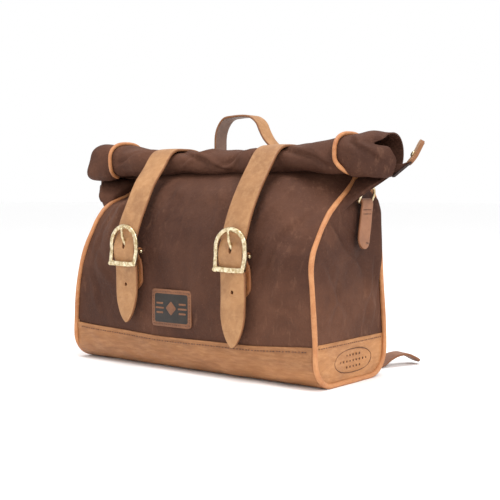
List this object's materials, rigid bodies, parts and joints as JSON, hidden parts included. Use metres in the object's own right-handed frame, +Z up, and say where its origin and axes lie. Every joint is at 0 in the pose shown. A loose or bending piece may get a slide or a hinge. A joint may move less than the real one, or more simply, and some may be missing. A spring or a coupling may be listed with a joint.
{
  "type": "saddlebag",
  "caption": "Roll-top motorcycle saddlebag: waxed canvas body on a leather base, closed by leather straps with horseshoe buckles, with a carry handle, D-rings and rear mounting straps.",
  "frame": {"origin": "middle of the underside of the leather base", "axes": "+X along the bag to its right-hand end as seen from the front, the front with its buckles faces -Y, +Z up"},
  "size_m": [0.5606, 0.2816, 0.336],
  "materials": {
    "waxed_canvas": "matte",
    "webbing": "matte",
    "lining_cloth": "matte",
    "stiffener_board": "matte",
    "brass": "satin",
    "piping_leather": "satin",
    "base_leather": "satin",
    "patch_leather": "matte",
    "strap_leather": "satin"
  },
  "bodies": {
    "bag": {"base_board": "stiffener_board", "base_panel": "base_leather", "base_patch_left": "base_leather", "base_patch_right": "base_leather", "buckle_chape_left": "strap_leather", "buckle_chape_right": "strap_leather", "closing_strap_left": "strap_leather", "closing_strap_right": "strap_leather", "front_panel": "waxed_canvas", "front_patch": "patch_leather", "gusset_left": "waxed_canvas", "gusset_right": "waxed_canvas", "handle_end_left": "strap_leather", "handle_end_right": "strap_leather", "handle_rivets_left": "brass", "handle_rivets_right": "brass", "handle_strip": "strap_leather", "lining": "lining_cloth", "mounting_chape_left": "strap_leather", "mounting_chape_right": "strap_leather", "mounting_strap_left": "strap_leather", "mounting_strap_right": "strap_leather", "piping_left": "piping_leather", "piping_right": "piping_leather", "rear_panel": "waxed_canvas", "rear_stiffener": "stiffener_board", "ring_tab_left": "strap_leather", "ring_tab_right": "strap_leather", "roll_piping_left": "piping_leather", "roll_piping_right": "piping_leather", "roll_rivet_left": "brass", "roll_rivet_right": "brass", "roll_tab_left": "strap_leather", "roll_tab_right": "strap_leather", "roll_top": "waxed_canvas", "roll_webbing_left": "webbing", "roll_webbing_right": "webbing"},
    "handle": {"handle": "strap_leather"},
    "d_ring_right": {"d_ring_right": "brass"},
    "d_ring_left": {"d_ring_left": "brass"},
    "buckle_frame_right": {"buckle_frame_right": "brass"},
    "buckle_frame_left": {"buckle_frame_left": "brass"},
    "buckle_prong_right": {"buckle_prong_right": "brass"},
    "buckle_prong_left": {"buckle_prong_left": "brass"},
    "mounting_buckle_right": {"mounting_buckle_right": "brass"},
    "mounting_buckle_left": {"mounting_buckle_left": "brass"},
    "mounting_prong_right": {"mounting_prong_right": "brass"},
    "mounting_prong_left": {"mounting_prong_left": "brass"}
  },
  "joints": [
    {"name": "handle_hinge", "type": "hinge", "parent": "bag", "child": "handle", "pos_m": [0, 0.0679, 0.231], "axis": [1, 0, 0], "range_deg": [-90, 0]},
    {"name": "d_ring_right_hinge", "type": "hinge", "parent": "bag", "child": "d_ring_right", "pos_m": [0.20314, 0.026, 0.21634], "axis": [0, 1, 0], "range_deg": [-5, 125]},
    {"name": "buckle_frame_right_hinge", "type": "hinge", "parent": "bag", "child": "buckle_frame_right", "pos_m": [0.09, -0.0806, 0.152], "axis": [1, 0, 0], "range_deg": [-2, 1.5]},
    {"name": "buckle_prong_right_hinge", "type": "hinge", "parent": "buckle_frame_right", "child": "buckle_prong_right", "pos_m": [0.09, -0.0806, 0.152], "axis": [1, 0, 0], "range_deg": [0, 10]},
    {"name": "mounting_buckle_right_hinge", "type": "hinge", "parent": "bag", "child": "mounting_buckle_right", "pos_m": [0.15, 0.0799, 0.203], "axis": [1, 0, 0], "range_deg": [0, 90]},
    {"name": "mounting_prong_right_hinge", "type": "hinge", "parent": "mounting_buckle_right", "child": "mounting_prong_right", "pos_m": [0.15, 0.0799, 0.203], "axis": [1, 0, 0], "range_deg": [0, 15]},
    {"name": "d_ring_left_hinge", "type": "hinge", "parent": "bag", "child": "d_ring_left", "pos_m": [-0.20314, 0.026, 0.21634], "axis": [0, -1, 0], "range_deg": [-5, 125]},
    {"name": "buckle_frame_left_hinge", "type": "hinge", "parent": "bag", "child": "buckle_frame_left", "pos_m": [-0.09, -0.0806, 0.152], "axis": [1, 0, 0], "range_deg": [-2, 1.5]},
    {"name": "buckle_prong_left_hinge", "type": "hinge", "parent": "buckle_frame_left", "child": "buckle_prong_left", "pos_m": [-0.09, -0.0806, 0.152], "axis": [1, 0, 0], "range_deg": [0, 10]},
    {"name": "mounting_buckle_left_hinge", "type": "hinge", "parent": "bag", "child": "mounting_buckle_left", "pos_m": [-0.15, 0.0799, 0.203], "axis": [1, 0, 0], "range_deg": [0, 90]},
    {"name": "mounting_prong_left_hinge", "type": "hinge", "parent": "mounting_buckle_left", "child": "mounting_prong_left", "pos_m": [-0.15, 0.0799, 0.203], "axis": [1, 0, 0], "range_deg": [0, 15]}
  ]
}
